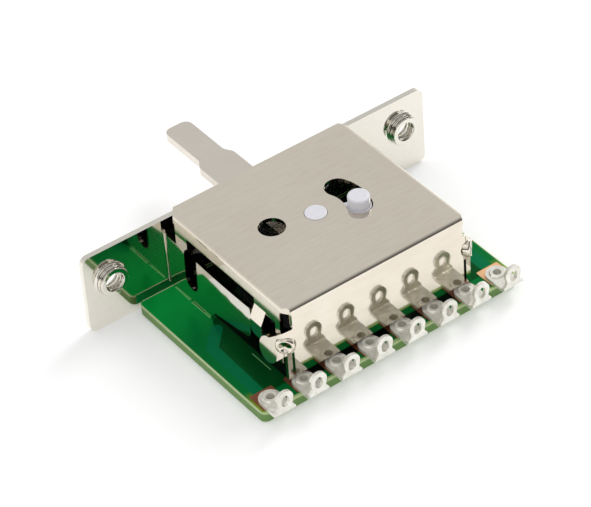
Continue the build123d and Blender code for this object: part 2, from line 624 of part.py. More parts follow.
def rotor():
    """Moulded rotor under the lever with a radial bore for the click ball."""
    disc = upright(ROTOR_R, ROTOR_LOW, ROTOR_DISC_TOP)
    neck = block(-ROTOR_HUB_R, ROTOR_HUB_R, 0, ROTOR_R, -FAR, FAR)
    disc -= sector(ROTOR_HALF_ANGLE, 90, 2 * ROTOR_R) - neck
    body = disc + upright(ROTOR_HUB_R, ROTOR_LOW, LEVER_LOW)
    stake = upright(STAKE_R, LEVER_LOW - STAKE_DEPTH, LEVER_TOP + STAKE_HEAD_T)
    stake += upright(STAKE_HEAD_R, LEVER_TOP, LEVER_TOP + STAKE_HEAD_T)
    body += mirrored(Pos(STAKE_X, 0, 0) * stake)
    body -= Cylinder(POST_R + RUN_FIT, FAR)
    body -= upright(POST_FLANGE_R + RUN_FIT, -FAR, BOARD_TOP + POST_FLANGE_T + RUN_FIT)
    body -= Pos(0, 0, BALL_Z) * across(BALL_R + FIT, -ROTOR_R - 1, -ROTOR_R + BALL_BORE_DEPTH)
    for x in wiper_places():
        body -= Pos(x, 0, 0) * wiper_seat()
    return PIVOT * body


def wiper_places():
    """X of each wiper spring under the rotor."""
    return [side * radius for radius in WIPER_RADII for side in (-1, 1)]


def wiper_seat():
    """Recess under the rotor that the flat part of a wiper spring fits in."""
    half = WIPER_W / 2 + FIT
    return block(-half, half, WIPER_BACK - FIT, WIPER_END, ROTOR_LOW - 1, ROTOR_LOW + WIPER_T)


def wiper_springs():
    """Bent contact springs in the rotor with a domed contact on the track."""
    dome_low = BOARD_TOP + COPPER_T + TRACK_CLEAR
    tongue_low = dome_low + WIPER_DOME_DEPTH
    flat = block(-WIPER_W / 2, WIPER_W / 2, WIPER_BACK, WIPER_FOLD, ROTOR_LOW, ROTOR_LOW + WIPER_T)
    tongue = [(WIPER_FOLD, ROTOR_LOW), (WIPER_FOLD, ROTOR_LOW + WIPER_T), (WIPER_END, tongue_low + WIPER_T),
              (WIPER_END, tongue_low)]
    slope = side_sheet(tongue, -WIPER_W / 2, WIPER_W / 2)
    dome = Pos(0, WIPER_END - WIPER_DOME_R, dome_low + WIPER_DOME_R) * Sphere(WIPER_DOME_R)
    dome -= block(-1, 1, 0, WIPER_END + 1, tongue_low + WIPER_T, ROTOR_LOW + 1)
    spring = flat + slope + dome
    return Compound(children=[PIVOT * Pos(x, 0, 0) * spring for x in wiper_places()])


def lever():
    """Lever blade with a round root on the pivot and a narrow tip for a knob."""
    tip_y = LEVER_REACH - PIVOT_Y
    shoulder_y = LEVER_SHOULDER_Y - PIVOT_Y
    side = [(LEVER_W / 2, 0), (LEVER_W / 2, shoulder_y - LEVER_SHOULDER_L / 2),
            (LEVER_TIP_W / 2, shoulder_y + LEVER_SHOULDER_L / 2), (LEVER_TIP_W / 2, tip_y)]
    outline = side + [(-x, y) for x, y in reversed(side)]
    blade = Pos(0, 0, LEVER_LOW) * extrude(make_face(Polyline(*outline, close=True)), amount=LEVER_T)
    uprights = blade.edges().filter_by(Axis.Z)
    shoulders = uprights.filter_by(lambda e: abs(e.center().Y - shoulder_y) < LEVER_SHOULDER_L)
    blade = fillet(shoulders, LEVER_SHOULDER_R)
    blade = fillet(blade.edges().filter_by(Axis.Z).group_by(Axis.Y)[-1], LEVER_TIP_R)
    blade += upright(LEVER_ROOT_R, LEVER_LOW, LEVER_TOP)
    blade -= Cylinder(POST_R + RUN_FIT, FAR)
    blade -= mirrored(Pos(STAKE_X, 0, 0) * Cylinder(STAKE_R + FIT, FAR))
    return PIVOT * blade


def notch_angles():
    """Directions of the click notches, one for each position of the lever."""
    step = 2 * LEVER_THROW / (LEVER_POSITIONS - 1)
    return [-90 - LEVER_THROW + i * step for i in range(LEVER_POSITIONS)]


def click_strip():
    """Curved steel strip with a notch for each position, on two feet on the board."""
    half_angle = LEVER_THROW + STRIP_SPARE_ANGLE
    reach = 3 * STRIP_INNER_R
    strip = ring(STRIP_INNER_R + STRIP_T, STRIP_INNER_R, BOARD_TOP, ROTOR_DISC_TOP + STRIP_RISE)
    strip &= sector(half_angle, -90, reach)
    gap = sector(half_angle - STRIP_FOOT_ANGLE, -90, reach)
    strip -= gap & block(-FAR, FAR, -FAR, FAR, BOARD_TOP - 1, LUG_TOP + STRIP_LIFT)
    notch_r = STRIP_INNER_R + NOTCH_DEPTH - BALL_R - FIT
    for angle in notch_angles():
        strip -= Rot(0, 0, angle) * Pos(notch_r, 0, 0) * Cylinder(BALL_R + FIT, FAR)
    return PIVOT * strip


def click_ball():
    """Steel ball of the click stop at the mouth of its bore."""
    return PIVOT * Pos(0, -BALL_ROUTE_R, BALL_Z) * Sphere(BALL_R)


def click_spring():
    """Coil spring behind the click ball."""
    start = -ROTOR_R + BALL_BORE_DEPTH - SPRING_WIRE_R - FIT
    length = BALL_ROUTE_R - BALL_R + start - SPRING_WIRE_R - FIT
    route = Helix(pitch=SPRING_PITCH, height=length, radius=SPRING_R)
    section = Plane(origin=route @ 0, z_dir=route % 0) * RegularPolygon(SPRING_WIRE_R, SPRING_SIDES)
    coil = sweep(section, path=route, is_frenet=True)
    return PIVOT * Pos(0, start, BALL_Z) * Rot(90, 0, 0) * coil


def mode_arm():
    """Plastic arm on the neck of the post with the pin that stands in the curved slot."""
    hub = upright(MODE_HUB_R, POST_SHOULDER + RUN_FIT, MODE_ARM_TOP)
    bar = block(0, SLOT_R, -PIN_COLLAR_R, PIN_COLLAR_R, MODE_ARM_LOW, MODE_ARM_TOP)
    end = Pos(SLOT_R, 0, 0) * upright(PIN_COLLAR_R, MODE_ARM_LOW, COVER_TOP - PIN_COLLAR_SUNK)
    pin = Pos(SLOT_R, 0, 0) * upright(PIN_R, MODE_ARM_LOW, COVER_TOP + PIN_PROUD)
    pin = fillet(pin.edges().filter_by(GeomType.CIRCLE).group_by(Axis.Z)[-1], PIN_EDGE_R)
    arm = hub + bar + end + pin
    arm -= Cylinder(POST_NECK_R + RUN_FIT, FAR)
    return PIVOT * Rot(0, 0, ARM_REST_ANGLE) * arm


def build_parts():
    """Every sub-part by its node name."""
    parts = {
        "mounting_plate": mounting_plate(),
        "side_frame": side_frame(),
        "frame_rivets": frame_rivets(),
        "printed_board": printed_board(),
        "cover": cover(),
        "lug_eyelets": lug_eyelets(),
        "copper_pads": copper_pads(),
        "contact_tracks": contact_tracks(),
        "pivot_post": pivot_post(),
        "retaining_clip": retaining_clip(),
        "click_strip": click_strip(),
        "rotor": rotor(),
        "lever": lever(),
        "wiper_springs": wiper_springs(),
        "click_ball": click_ball(),
        "click_spring": click_spring(),
        "mode_arm": mode_arm(),
    }
    for number, x in enumerate(lug_places(), start=1):
        parts[f"terminal_lug_{number}"] = terminal_lug(x)
    return parts


os.makedirs("parts", exist_ok=True)
for name, shape in build_parts().items():
    export_step(shape, f"parts/{name}.step")
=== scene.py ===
import json
import math

import bpy
from mathutils import Matrix, Vector


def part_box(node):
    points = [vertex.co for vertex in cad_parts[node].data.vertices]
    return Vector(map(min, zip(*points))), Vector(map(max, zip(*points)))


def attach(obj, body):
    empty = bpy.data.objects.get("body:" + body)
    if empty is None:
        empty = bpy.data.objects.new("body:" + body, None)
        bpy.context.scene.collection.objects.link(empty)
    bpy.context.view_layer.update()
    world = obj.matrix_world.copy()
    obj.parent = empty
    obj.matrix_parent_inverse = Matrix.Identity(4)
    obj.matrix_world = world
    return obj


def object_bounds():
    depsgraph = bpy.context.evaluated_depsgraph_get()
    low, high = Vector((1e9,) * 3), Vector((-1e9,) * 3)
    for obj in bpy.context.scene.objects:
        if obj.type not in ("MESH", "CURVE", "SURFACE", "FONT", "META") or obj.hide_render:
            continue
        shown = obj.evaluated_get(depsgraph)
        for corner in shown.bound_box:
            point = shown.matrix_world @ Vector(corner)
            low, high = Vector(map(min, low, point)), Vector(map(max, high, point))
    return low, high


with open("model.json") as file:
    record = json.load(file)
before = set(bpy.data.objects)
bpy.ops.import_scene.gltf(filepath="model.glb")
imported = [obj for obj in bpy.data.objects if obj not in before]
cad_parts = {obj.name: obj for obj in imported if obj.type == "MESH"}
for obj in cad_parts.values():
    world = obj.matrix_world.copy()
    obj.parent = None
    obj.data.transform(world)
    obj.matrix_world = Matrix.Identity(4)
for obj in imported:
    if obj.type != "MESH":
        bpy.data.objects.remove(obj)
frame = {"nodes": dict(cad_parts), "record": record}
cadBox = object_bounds()
mm = 0.001
panelScrews = next(mount for mount in frame["record"]["mounts"] if mount["name"] == "panel_screws")
screwSpacing = panelScrews["dims"]["spacing_x_mm"]
print("loaded", len(frame["nodes"]), "solids of the switch")


# Nodes for shaders and for the threads

def newMaterial(name):
    mat = bpy.data.materials.new(name)
    mat.use_nodes = True
    mat.node_tree.nodes.clear()
    return mat, mat.node_tree


def finishMaterial(tree, shader):
    addNode(tree, "ShaderNodeOutputMaterial", {"Surface": shader})


def setInput(tree, socket, value):
    if isinstance(value, bpy.types.NodeSocket):
        tree.links.new(value, socket)
    else:
        socket.default_value = value


def addNode(tree, kind, inputs=None, **props):
    node = tree.nodes.new(kind)
    for key, value in props.items():
        setattr(node, key, value)
    for key, value in (inputs or {}).items():
        setInput(tree, node.inputs[key], value)
    return node


def mathNode(tree, operation, a, b=0.0):
    return addNode(tree, "ShaderNodeMath", {0: a, 1: b}, operation=operation).outputs[0]


def vectorMath(tree, operation, a, b):
    return addNode(tree, "ShaderNodeVectorMath", {0: a, 1: b}, operation=operation).outputs


def ramp(tree, value, low, high, fromLow, fromHigh, curve="LINEAR"):
    given = {"Value": value, "From Min": fromLow, "From Max": fromHigh, "To Min": low, "To Max": high}
    return addNode(tree, "ShaderNodeMapRange", given, interpolation_type=curve).outputs[0]


def inside(tree, value, limit, soft):  # 1 below the limit, 0 above it
    return ramp(tree, value, 1.0, 0.0, limit - soft, limit + soft)


def centred(tree, grain):  # a noise about zero
    return mathNode(tree, "SUBTRACT", grain, 0.5)


def rgba(colour):
    return (*colour, 1.0)


def mixColour(tree, share, a, b):
    node = addNode(tree, "ShaderNodeMix", data_type="RGBA")
    given = {"Factor_Float": share, "A_Color": a, "B_Color": b}
    for socket in node.inputs:
        if socket.identifier in given:
            setInput(tree, socket, given[socket.identifier])
    return next(s for s in node.outputs if s.identifier == "Result_Color")


def layOver(tree, colour, share, other):
    return mixColour(tree, share, colour, rgba(other))


def objectCoords(tree, stretch=(1, 1, 1)):
    coords = addNode(tree, "ShaderNodeTexCoord").outputs["Object"]
    return addNode(tree, "ShaderNodeMapping", {"Vector": coords, "Scale": stretch}).outputs[0]


def placeInMm(tree, upScale=1 / mm):
    return objectCoords(tree, (1 / mm, 1 / mm, upScale))


def axesInMm(tree):
    return addNode(tree, "ShaderNodeSeparateXYZ", {0: placeInMm(tree)}).outputs


def noise(tree, scale, detail=3.0, stretch=(1, 1, 1)):
    given = {"Vector": objectCoords(tree, stretch), "Scale": scale, "Detail": detail}
    return addNode(tree, "ShaderNodeTexNoise", given).outputs[0]


def bump(tree, height, strength, distance, normal=None):
    given = {"Height": height, "Strength": strength, "Distance": distance}
    if normal is not None:
        given["Normal"] = normal
    return addNode(tree, "ShaderNodeBump", given).outputs[0]


# Finishes: colours are linear, wave and bump depths are metres, places on the switch are millimetres

surface = {
    "stainFrom": (0.35, 0.65),  # noise between which the stain comes in
    "roughFrom": (0.3, 0.7),  # noise between which the roughness changes
    "roughShares": (0.8, 1.25),  # least and most of a metal's roughness
    "mouldedSpread": 0.06,  # a moulding's roughness varies by this much each way
    "grainDetail": 4.0,
}


def dimple(tree, look, centre, normal):  # round hollow that deepens towards its centre
    away = vectorMath(tree, "DISTANCE", placeInMm(tree), centre)["Value"]
    height = ramp(tree, away, 0.0, 1.0, look["dimpleFlat"], look["dimpleR"], "SMOOTHSTEP")
    return bump(tree, height, 1.0, look["dimpleDepth"], normal)


def ridges(tree, look, normal):  # rings round both screw axes, behind the plate
    axes = axesInMm(tree)
    across = mathNode(tree, "SUBTRACT", mathNode(tree, "ABSOLUTE", axes["X"]), screwSpacing / 2)
    acrossSquared = mathNode(tree, "MULTIPLY", across, across)
    upSquared = mathNode(tree, "MULTIPLY", axes["Z"], axes["Z"])
    away = mathNode(tree, "SQRT", mathNode(tree, "ADD", acrossSquared, upSquared))
    around = inside(tree, away, look["ridgeR"], look["ridgeSoft"])
    behind = ramp(tree, axes["Y"], 1.0, 0.0, look["ridgeFrom"] - look["ridgeSoft"], look["ridgeFrom"])
    turn = mathNode(tree, "MULTIPLY", axes["Y"], 2 * math.pi / look["ridgePitch"])
    on = mathNode(tree, "MULTIPLY", around, behind)
    height = mathNode(tree, "MULTIPLY", mathNode(tree, "SINE", turn), on)
    return bump(tree, height, 1.0, look["ridgeDepth"], normal)


def metal(name, look):
    mat, tree = newMaterial(name)
    broad = noise(tree, look["broadScale"])
    fine = noise(tree, look["fineScale"], surface["grainDetail"], look["grain"])
    mean = mathNode(tree, "MULTIPLY", mathNode(tree, "ADD", broad, fine), 0.5)
    stained = ramp(tree, mean, 0.0, 1.0, *surface["stainFrom"])
    colour = mixColour(tree, stained, rgba(look["colour"]), rgba(look["stain"]))
    # a lighter tone that comes in along x
    if "lighterTone" in look:
        brighter = ramp(tree, axesInMm(tree)["X"], 0.0, 1.0, *look["lighterToneFrom"])
        colour = layOver(tree, colour, brighter, look["lighterTone"])
    least, most = [share * look["roughness"] for share in surface["roughShares"]]
    normal = bump(tree, broad, look["wave"], look["waveDepth"])
    for centre in look.get("dimples", []):
        normal = dimple(tree, look, centre, normal)
    if "ridgePitch" in look:
        normal = ridges(tree, look, normal)
    shader = addNode(tree, "ShaderNodeBsdfPrincipled", {
        "Base Color": colour, "Metallic": look.get("metallic", 1.0),
        "Roughness": ramp(tree, fine, least, most, *surface["roughFrom"]),
        "Normal": bump(tree, fine, look["bump"], look["bumpDepth"], normal)})
    finishMaterial(tree, shader.outputs[0])
    return mat


def moulding(name, look):
    mat, tree = newMaterial(name)
    broad = noise(tree, look["broadScale"])
    fine = noise(tree, look["fineScale"])
    least = look["roughness"] - surface["mouldedSpread"]
    most = look["roughness"] + surface["mouldedSpread"]
    shader = addNode(tree, "ShaderNodeBsdfPrincipled", {
        "Base Color": mixColour(tree, broad, rgba(look["colour"]), rgba(look["stain"])),
        "Roughness": ramp(tree, fine, least, most, *surface["roughFrom"]),
        "Subsurface Weight": look["glow"], "Subsurface Scale": look["glowDepth"],
        "Subsurface Radius": (1.0, 1.0, 1.0),
        "Normal": bump(tree, fine, look["bump"], look["bumpDepth"])})
    finishMaterial(tree, shader.outputs[0])
    return mat


satinNickel = {  # cover, with a hollow in the boss on each ear
    "colour": (0.735, 0.68, 0.585), "stain": (0.68, 0.622, 0.527), "roughness": 0.07,
    "broadScale": 110.0, "wave": 0.25, "waveDepth": 0.00004,
    "fineScale": 1400.0, "grain": (0.3, 2.0, 1.0), "bump": 0.05, "bumpDepth": 0.000003,
    "dimples": [(-12.97, -23.37, 0.50), (12.97, -23.37, 0.50)],
    "dimpleFlat": 0.15, "dimpleR": 0.85, "dimpleDepth": 0.0004,
}
mirrorNickel = {  # plate and side frame, with ridges on the plate's collars
    "colour": (0.73, 0.705, 0.64), "stain": (0.70, 0.67, 0.60), "roughness": 0.06,
    "broadScale": 120.0, "wave": 0.3, "waveDepth": 0.00005,
    "fineScale": 1500.0, "grain": (1.0, 1.0, 1.0), "bump": 0.05, "bumpDepth": 0.000004,
    "ridgeR": 2.5, "ridgeFrom": -0.85, "ridgeSoft": 0.1, "ridgePitch": 0.62, "ridgeDepth": 0.00012,
}
leverNickel = {
    "colour": (0.70, 0.65, 0.585), "stain": (0.65, 0.60, 0.53), "roughness": 0.24,
    "broadScale": 200.0, "wave": 0.2, "waveDepth": 0.00003,
    "fineScale": 1300.0, "grain": (1.6, 0.6, 1.0), "bump": 0.3, "bumpDepth": 0.00001,
}
dullTin = {  # lugs and their eyelets
    "colour": (0.93, 0.92, 0.85), "stain": (0.72, 0.70, 0.62), "roughness": 0.16, "metallic": 0.4,
    "broadScale": 750.0, "wave": 1.0, "waveDepth": 0.0002,
    "fineScale": 1800.0, "grain": (1.0, 1.0, 1.0), "bump": 0.15, "bumpDepth": 0.00003,
}
rivetSteel = {
    "colour": (0.60, 0.59, 0.56), "stain": (0.48, 0.46, 0.43), "roughness": 0.26,
    "broadScale": 500.0, "wave": 0.2, "waveDepth": 0.00003,
    "fineScale": 2200.0, "grain": (1.0, 1.0, 1.0), "bump": 0.2, "bumpDepth": 0.00002,
}
springSteel = {
    "colour": (0.62, 0.62, 0.61), "stain": (0.50, 0.50, 0.50), "roughness": 0.2,
    "broadScale": 300.0, "wave": 0.2, "waveDepth": 0.00003,
    "fineScale": 2600.0, "grain": (0.4, 2.0, 1.0), "bump": 0.1, "bumpDepth": 0.00002,
}
bareCopper = {  # pads and contact tracks; the copper furthest to the right is a lighter orange
    "colour": (0.38, 0.13, 0.06), "stain": (0.20, 0.075, 0.035), "roughness": 0.38, "metallic": 0.6,
    "broadScale": 700.0, "wave": 0.3, "waveDepth": 0.00004,
    "fineScale": 2200.0, "grain": (1.0, 1.0, 1.0), "bump": 0.2, "bumpDepth": 0.00003,
    "lighterTone": (0.84, 0.50, 0.26), "lighterToneFrom": (13.2, 14.4),
}
whiteAcetal = {
    "colour": (0.76, 0.75, 0.79), "stain": (0.72, 0.71, 0.76), "roughness": 0.38,
    "broadScale": 300.0, "fineScale": 1500.0, "bump": 0.08, "bumpDepth": 0.00003,
    "glow": 0.25, "glowDepth": 0.0006,
}
darkAcetal = {
    "colour": (0.022, 0.022, 0.024), "stain": (0.032, 0.031, 0.031), "roughness": 0.42,
    "broadScale": 300.0, "fineScale": 1500.0, "bump": 0.15, "bumpDepth": 0.00004,
    "glow": 0.0, "glowDepth": 0.0001,
}


# Printed board: copper shows through the mask as teal tracks, and the cut edges are bare laminate

greenBoard = {
    "mask": (0.0006, 0.36, 0.060), "maskPaintedShade": (0.0006, 0.17, 0.034),
    "frontShade": (-4.0, -11.0), "unevenness": 0.2,  # painted light and shade: the mask is painted brighter near the plate, which throws light on the board, and darker to the front
    "clear": (0.0005, 0.070, 0.012),  # dark areas beside the cover: partly the board's own darker green, partly painted shade from the cover and side frame
    "darkBesideCover": [[(-11.0, -8.8), (-13.0, -9.2), (-15.5, -13.2), (-15.5, -22.9), (-11.0, -22.9)],
                  [(11.0, -22.9), (15.4, -22.9), (15.4, -11.8), (13.6, -9.5), (11.0, -9.5)]],
    "track": (0.0006, 0.17, 0.062), "trackRadius": 0.72,
    "tracks": [[(-13.6, -10.7), (-15.9, -13.1), (-16.1, -21.8)],
               [(14.6, -4.2), (14.9, -9.6), (16.1, -12.4), (16.0, -21.6)]],
    "paintedGlint": (0.34, 0.78, 0.32), "paintedGlintRadius": 0.035,  # painted highlights: thin bright lines beside the cover, where the side frame's lower edge catches the light
    "paintedGlints": [[(-13.0, -1.8), (-13.05, -4.7)],
               [(-13.1, -5.2), (-13.05, -8.7)],
               [(-12.95, -16.7), (-12.95, -20.1)]],
    "bareCorner": (0.24, 0.33, 0.03), "cornerDepth": (1.0, 3.1), "cornerSoft": 1.0,
    "bareLaminate": (0.40, 0.56, 0.22), "bareDepth": 0.4,  # ragged strip along the front edge
    # painted shade: the board under the cover and just beside its sides is painted near black
    "paintedShadeUnderCover": (0.002, 0.004, 0.003), "paintedShadeHalf": 12.4, "paintedShadeY": (-24.0, -0.8),
    "rim": (0.66, 0.78, 0.46), "rimWidth": 0.1,  # light line round the upper face
    "cutTop": (0.72, 0.78, 0.50), "cutFleck": (0.36, 0.50, 0.20),  # cut edges, from the top down
    # painted shade: the cut edges' lower part is painted darker green
    "cutLowShade": (0.17, 0.29, 0.10), "cutLowShadeFrom": (0.144, 0.36),
    # painted light: the back cut edge, deep in shade against the plate, is painted bright green
    "backCutPaintedLight": (0.006, 0.50, 0.12), "backDepth": 0.05, "backSoft": 0.015,
    "soft": 0.06, "topNormal": 0.5, "roughness": 0.3, "edgeRoughness": 0.5, "metallic": 0.25,
    "gloss": 0.15, "glossTint": (0.02, 0.8, 0.25),
    "broadScale": 130.0, "fineScale": 2400.0, "bump": 0.06, "bumpDepth": 0.00003,
}


def routeDistance(tree, plan, route):
    nearest = None
    for (x0, y0), (x1, y1) in zip(route, route[1:]):
        along = (x1 - x0, y1 - y0, 0)
        offset = vectorMath(tree, "SUBTRACT", plan, (x0, y0, 0))["Vector"]
        reach = vectorMath(tree, "DOT_PRODUCT", offset, along)["Value"]
        share = addNode(tree, "ShaderNodeMath", {0: reach, 1: along[0] ** 2 + along[1] ** 2},
                        operation="DIVIDE", use_clamp=True).outputs[0]
        scaled = {0: along, "Scale": share}
        foot = addNode(tree, "ShaderNodeVectorMath", scaled, operation="SCALE").outputs[0]
        gap = vectorMath(tree, "DISTANCE", offset, foot)["Value"]
        nearest = gap if nearest is None else mathNode(tree, "MINIMUM", nearest, gap)
    return nearest


def polygonInside(tree, axes, corners, soft):  # corners run anticlockwise
    least = None
    for (x0, y0), (x1, y1) in zip(corners, corners[1:] + corners[:1]):
        length = math.hypot(x1 - x0, y1 - y0)
        inX, inY = (y0 - y1) / length, (x1 - x0) / length
        across = mathNode(tree, "MULTIPLY", mathNode(tree, "SUBTRACT", axes["X"], x0), inX)
        along = mathNode(tree, "MULTIPLY", mathNode(tree, "SUBTRACT", axes["Y"], y0), inY)
        depth = mathNode(tree, "ADD", across, along)
        least = depth if least is None else mathNode(tree, "MINIMUM", least, depth)
    return ramp(tree, least, 0.0, 1.0, -soft, soft)


def edgeDistances(tree, axes):
    low, high = [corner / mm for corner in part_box("printed_board")]
    return {
        "side": mathNode(tree, "SUBTRACT", high.x, mathNode(tree, "ABSOLUTE", axes["X"])),
        "front": mathNode(tree, "SUBTRACT", axes["Y"], low.y),
        "back": mathNode(tree, "SUBTRACT", high.y, axes["Y"]),
        "top": mathNode(tree, "SUBTRACT", high.z, axes["Z"]),
    }


def boardFace(tree, look, axes, away, broad):
    soft = look["soft"]
    uneven = mathNode(tree, "MULTIPLY", centred(tree, broad), look["unevenness"])
    # painted light and shade: the mask colour runs from bright near the plate to dark at the front
    toFront = mathNode(tree, "ADD", ramp(tree, axes["Y"], 0.0, 1.0, *look["frontShade"]), uneven)
    colour = mixColour(tree, toFront, rgba(look["mask"]), rgba(look["maskPaintedShade"]))
    # partly painted shade: darker areas beside the cover
    for corners in look["darkBesideCover"]:
        colour = layOver(tree, colour, polygonInside(tree, axes, corners, soft), look["clear"])
    plan = placeInMm(tree, 0.0)
    # the tracks are the board's own; the thin bright lines are painted highlights
    for line in ("track", "paintedGlint"):
        for route in look[line + "s"]:
            near = inside(tree, routeDistance(tree, plan, route), look[line + "Radius"], soft)
            colour = layOver(tree, colour, near, look[line])
    cornerX, cornerY = look["cornerDepth"]
    corner = mathNode(tree, "MULTIPLY", inside(tree, away["side"], cornerX, soft),
                      inside(tree, away["front"], cornerY, look["cornerSoft"]))
    colour = layOver(tree, colour, corner, look["bareCorner"])
    ragged = mathNode(tree, "MULTIPLY", centred(tree, broad), look["bareDepth"])
    bare = inside(tree, mathNode(tree, "ADD", away["front"], ragged), look["bareDepth"], soft)
    colour = layOver(tree, colour, bare, look["bareLaminate"])
    # painted shade under the cover and in the gap beside its sides
    half = look["paintedShadeHalf"]
    front, back = look["paintedShadeY"]
    under = polygonInside(tree, axes, [(-half, front), (half, front), (half, back), (-half, back)], soft)
    colour = layOver(tree, colour, under, look["paintedShadeUnderCover"])
    border = mathNode(tree, "MINIMUM", away["side"], mathNode(tree, "MINIMUM", away["front"], away["back"]))
    return layOver(tree, colour, inside(tree, border, look["rimWidth"], soft), look["rim"])


def boardCut(tree, look, away, fine):
    colour = mixColour(tree, fine, rgba(look["cutTop"]), rgba(look["cutFleck"]))
    # painted shade: darker green towards the bottom of the cut edges
    low = ramp(tree, away["top"], 0.0, 1.0, *look["cutLowShadeFrom"])
    colour = layOver(tree, colour, low, look["cutLowShade"])
    # painted light: the back cut edge is painted bright green to look lit
    atBack = inside(tree, away["back"], look["backDepth"], look["backSoft"])
    return layOver(tree, colour, atBack, look["backCutPaintedLight"])


def boardMaterial(look):
    mat, tree = newMaterial("greenLaminate")
    axes = axesInMm(tree)
    broad = noise(tree, look["broadScale"])
    fine = noise(tree, look["fineScale"])
    away = edgeDistances(tree, axes)
    normal = addNode(tree, "ShaderNodeTexCoord").outputs["Normal"]
    normalZ = addNode(tree, "ShaderNodeSeparateXYZ", {0: normal}).outputs["Z"]
    flat = mathNode(tree, "GREATER_THAN", mathNode(tree, "ABSOLUTE", normalZ), look["topNormal"])
    face = boardFace(tree, look, axes, away, broad)
    colour = mixColour(tree, flat, boardCut(tree, look, away, fine), face)
    shader = addNode(tree, "ShaderNodeBsdfPrincipled", {
        "Base Color": colour, "Metallic": mathNode(tree, "MULTIPLY", flat, look["metallic"]),
        "Specular IOR Level": look["gloss"], "Specular Tint": rgba(look["glossTint"]),
        "Roughness": ramp(tree, flat, look["edgeRoughness"], look["roughness"], 0.0, 1.0),
        "Normal": bump(tree, fine, look["bump"], look["bumpDepth"])})
    finishMaterial(tree, shader.outputs[0])
    return mat


finishes = {
    "satin_nickel": metal("satinNickel", satinNickel),
    "mirror_nickel": metal("mirrorNickel", mirrorNickel),
    "lever_steel": metal("leverNickel", leverNickel),
    "tinned_brass": metal("dullTin", dullTin),
    "rivet_steel": metal("rivetSteel", rivetSteel),
    "spring_steel": metal("springSteel", springSteel),
    "bare_copper": metal("bareCopper", bareCopper),
    "white_acetal": moulding("whiteAcetal", whiteAcetal),
    "dark_acetal": moulding("darkAcetal", darkAcetal),
    "green_laminate": boardMaterial(greenBoard),
}


def dressNodes():
    for part in frame["record"]["subparts"]:
        mesh = frame["nodes"][part["node"]].data
        mesh.materials.clear()
        mesh.materials.append(finishes[part["material_slot"]])


dressNodes()
print("finishes put on every solid")


# Thread ridges inside both collars: a tooth swept along a helix in the wall of each bore

collarThread = {
    "helixR": 1.30 * mm, "pitch": 0.5 * mm, "length": 1.6 * mm, "start": -0.08 * mm,
    "toothR": 0.2 * mm, "toothSides": 6, "pointsPerTurn": 36, "slot": "mirror_nickel",
}


def linkObject(name, data):
    thing = bpy.data.objects.new(name, data)
    bpy.context.scene.collection.objects.link(thing)
    return thing


def threadTree(size):
    tree = bpy.data.node_groups.new("threadRidges", "GeometryNodeTree")
    face = tree.interface
    face.new_socket("Geometry", in_out="OUTPUT", socket_type="NodeSocketGeometry")
    for name in ("Helix Radius", "Pitch", "Length", "Tooth Radius"):
        face.new_socket(name, in_out="INPUT", socket_type="NodeSocketFloat")
    face.new_socket("Finish", in_out="INPUT", socket_type="NodeSocketMaterial")
    given = tree.nodes.new("NodeGroupInput").outputs
    turns = mathNode(tree, "DIVIDE", given["Length"], given["Pitch"])
    spiral = addNode(tree, "GeometryNodeCurveSpiral", {
        "Resolution": size["pointsPerTurn"], "Rotations": turns, "Height": given["Length"],
        "Start Radius": given["Helix Radius"], "End Radius": given["Helix Radius"]})
    section = addNode(tree, "GeometryNodeCurvePrimitiveCircle", {
        "Resolution": size["toothSides"], "Radius": given["Tooth Radius"]})
    swept = addNode(tree, "GeometryNodeCurveToMesh", {
        "Curve": spiral.outputs[0], "Profile Curve": section.outputs[0], "Fill Caps": True})
    real = addNode(tree, "GeometryNodeRealizeInstances", {0: swept.outputs[0]})
    dressed = addNode(tree, "GeometryNodeSetMaterial", {
        "Geometry": real.outputs[0], "Material": given["Finish"]})
    addNode(tree, "NodeGroupOutput", {"Geometry": dressed.outputs[0]})
    return tree


def bakeTree(name, tree, values, place):  # the tree's result as a plain mesh, put in its place
    seed = linkObject(name + "Seed", bpy.data.meshes.new(name + "Seed"))
    modifier = seed.modifiers.new("nodes", "NODES")
    modifier.node_group = tree
    sockets = {s.name: s.identifier for s in tree.interface.items_tree if s.in_out == "INPUT"}
    for label, value in values.items():
        modifier[sockets[label]] = value
    graph = bpy.context.evaluated_depsgraph_get()
    made = bpy.data.meshes.new_from_object(seed.evaluated_get(graph))
    made.transform(place)
    bpy.data.objects.remove(seed)
    return linkObject(name, made)


def collarThreads(size):
    tree = threadTree(size)
    values = {"Helix Radius": size["helixR"], "Pitch": size["pitch"], "Length": size["length"],
              "Tooth Radius": size["toothR"], "Finish": finishes[size["slot"]]}
    intoCollar = Matrix.Rotation(math.radians(90), 4, "X")
    for side, name in ((-1, "collarThreadLeft"), (1, "collarThreadRight")):
        place = Matrix.Translation((side * screwSpacing * mm / 2, size["start"], 0)) @ intoCollar
        ridge = bakeTree(name, tree, values, place)
        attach(ridge, "switch_body")


collarThreads(collarThread)
print("threads cut in both collars")


# Floor, light and camera

studio = {
    "floorSize": 3.0, "floorColour": (0.9, 0.9, 0.9), "paperScale": 60.0, "paperTone": 0.99,
    "floorGlow": 0.2, "mirrorGlow": 0.4,  # added light that the camera and mirrors see in the floor
    "ambient": 0.74,  # the world's light on the switch
    "horizon": 1.1, "zenith": 0.76, "zenithAt": 0.6,  # what the metal mirrors; heights are sines
    "darkSide": 0.16, "darkFrom": (0.45, 0.95), "frontFrom": (0.02, 0.3),  # darker to the front
    "aim": (0, -0.012, 0),
    "lamps": {
        "key": {"place": (0.62, 0.16, 0.58), "size": 0.4, "power": 2.3},
        "fill": {"place": (-0.60, -0.45, 0.55), "size": 0.7, "power": 0.9},
    },
}


def mirroredRay(tree, rays):
    return mathNode(tree, "MAXIMUM", rays["Is Glossy Ray"], rays["Is Transmission Ray"])


